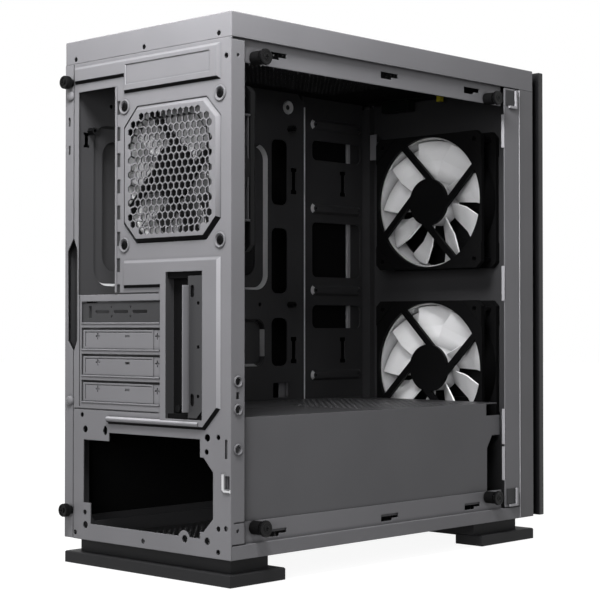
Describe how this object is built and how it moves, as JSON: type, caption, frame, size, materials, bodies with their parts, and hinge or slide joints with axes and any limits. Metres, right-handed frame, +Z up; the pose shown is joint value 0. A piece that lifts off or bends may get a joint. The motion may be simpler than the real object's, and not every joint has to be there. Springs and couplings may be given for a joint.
{
  "type": "desktop computer tower case",
  "caption": "Micro-ATX computer tower case, left side open: folded steel chassis, honeycomb rear vent, shrouded power supply bay, fans with white blades, sliding steel side panel.",
  "frame": {"origin": "on the floor, under the middle of the whole object's bounding box", "axes": "+Z up, +Y towards the rear panel, -X towards the open side"},
  "size_m": [0.1976, 0.3926, 0.41],
  "materials": {
    "graphite_steel": "satin graphite powder coat",
    "dark_steel": "satin near-black powder coat",
    "bezel_plastic": "fine matte graphite",
    "plate_plastic": "smooth black",
    "black_plastic": "matte black",
    "white_plastic": "frosted white",
    "foot_plastic": "fine matte dark grey",
    "black_rubber": "matte",
    "black_screw": "black oxide",
    "steel": "plain bright steel",
    "core_iron": "laminated core with varnish",
    "board": "dark solder mask"
  },
  "bodies": {
    "chassis": {"rear_panel": "graphite_steel", "rear_vent_grille": "graphite_steel", "top_cover": "graphite_steel", "top_panel": "graphite_steel", "bottom_panel": "graphite_steel", "slot_cover_1": "graphite_steel", "slot_cover_2": "graphite_steel", "slot_cover_3": "graphite_steel", "slot_cover_4": "graphite_steel", "slot_clamp": "graphite_steel", "front_frame": "graphite_steel", "psu_shroud": "graphite_steel", "motherboard_tray": "dark_steel", "cable_panel": "dark_steel", "drive_cage": "dark_steel", "front_bezel": "bezel_plastic", "front_plate": "plate_plastic", "front_intake_frame": "black_plastic", "front_dust_filter": "black_plastic", "top_dust_filter": "black_plastic", "audio_sockets": "black_plastic", "button_switches": "black_plastic", "rear_fan_frame": "black_plastic", "upper_front_fan_frame": "black_plastic", "lower_front_fan_frame": "black_plastic", "rear_fan_light_ring": "white_plastic", "upper_front_fan_light_ring": "white_plastic", "lower_front_fan_light_ring": "white_plastic", "rear_foot": "foot_plastic", "front_foot": "foot_plastic", "foot_pads": "black_rubber", "psu_rest_pads": "black_rubber", "glass_post_collars": "black_rubber", "rear_fan_pads": "black_rubber", "upper_front_fan_pads": "black_rubber", "lower_front_fan_pads": "black_rubber", "slot_clamp_screw": "black_screw", "rear_fan_screws": "black_screw", "upper_front_fan_screws": "black_screw", "lower_front_fan_screws": "black_screw", "motherboard_standoffs": "black_screw", "glass_posts": "steel", "usb_sockets": "steel", "rear_fan_stator": "core_iron", "upper_front_fan_stator": "core_iron", "lower_front_fan_stator": "core_iron", "front_io_board": "board"},
    "right_side_panel": {"right_side_panel": "graphite_steel"},
    "side_thumbscrew_upper": {"side_thumbscrew_upper": "black_screw"},
    "side_thumbscrew_lower": {"side_thumbscrew_lower": "black_screw"},
    "power_button": {"power_button": "black_plastic"},
    "reset_button": {"reset_button": "black_plastic"},
    "glass_thumbscrew_top_rear": {"glass_thumbscrew_top_rear": "black_screw"},
    "glass_thumbscrew_top_front": {"glass_thumbscrew_top_front": "black_screw"},
    "glass_thumbscrew_bottom_rear": {"glass_thumbscrew_bottom_rear": "black_screw"},
    "glass_thumbscrew_bottom_front": {"glass_thumbscrew_bottom_front": "black_screw"},
    "rear_fan_rotor": {"rear_fan_rotor": "white_plastic"},
    "upper_front_fan_rotor": {"upper_front_fan_rotor": "white_plastic"},
    "lower_front_fan_rotor": {"lower_front_fan_rotor": "white_plastic"}
  },
  "joints": [
    {"name": "side_panel_slide", "type": "slide", "parent": "chassis", "child": "right_side_panel", "axis": [0, 1, 0], "range_m": [0, 0.02]},
    {"name": "side_thumbscrew_lower_turn", "type": "hinge", "parent": "right_side_panel", "child": "side_thumbscrew_lower", "pos_m": [0.0912, 0.1873, 0.0422], "axis": [0, 1, 0], "continuous": true},
    {"name": "side_thumbscrew_upper_turn", "type": "hinge", "parent": "right_side_panel", "child": "side_thumbscrew_upper", "pos_m": [0.0912, 0.1873, 0.3773], "axis": [0, 1, 0], "continuous": true},
    {"name": "glass_thumbscrew_top_rear_turn", "type": "hinge", "parent": "chassis", "child": "glass_thumbscrew_top_rear", "pos_m": [-0.09485, 0.1604, 0.3793], "axis": [-1, 0, 0], "continuous": true},
    {"name": "glass_thumbscrew_top_front_turn", "type": "hinge", "parent": "chassis", "child": "glass_thumbscrew_top_front", "pos_m": [-0.09485, -0.1183, 0.3793], "axis": [-1, 0, 0], "continuous": true},
    {"name": "glass_thumbscrew_bottom_rear_turn", "type": "hinge", "parent": "chassis", "child": "glass_thumbscrew_bottom_rear", "pos_m": [-0.09485, 0.1604, 0.0412], "axis": [-1, 0, 0], "continuous": true},
    {"name": "glass_thumbscrew_bottom_front_turn", "type": "hinge", "parent": "chassis", "child": "glass_thumbscrew_bottom_front", "pos_m": [-0.09485, -0.1183, 0.0412], "axis": [-1, 0, 0], "continuous": true},
    {"name": "rear_fan_spin", "type": "hinge", "parent": "chassis", "child": "rear_fan_rotor", "pos_m": [-0.0256, 0.1726, 0.29983], "axis": [0, 1, 0], "continuous": true},
    {"name": "upper_front_fan_spin", "type": "hinge", "parent": "chassis", "child": "upper_front_fan_rotor", "pos_m": [-0.0033, -0.1533, 0.2974], "axis": [0, 1, 0], "continuous": true},
    {"name": "lower_front_fan_spin", "type": "hinge", "parent": "chassis", "child": "lower_front_fan_rotor", "pos_m": [-0.0033, -0.1533, 0.1488], "axis": [0, 1, 0], "continuous": true},
    {"name": "power_button_press", "type": "slide", "parent": "chassis", "child": "power_button", "axis": [0, 0, -1], "range_m": [0, 0.0012], "stiffness_N_per_m": 1300},
    {"name": "reset_button_press", "type": "slide", "parent": "chassis", "child": "reset_button", "axis": [0, 0, -1], "range_m": [0, 0.0012], "stiffness_N_per_m": 900}
  ]
}
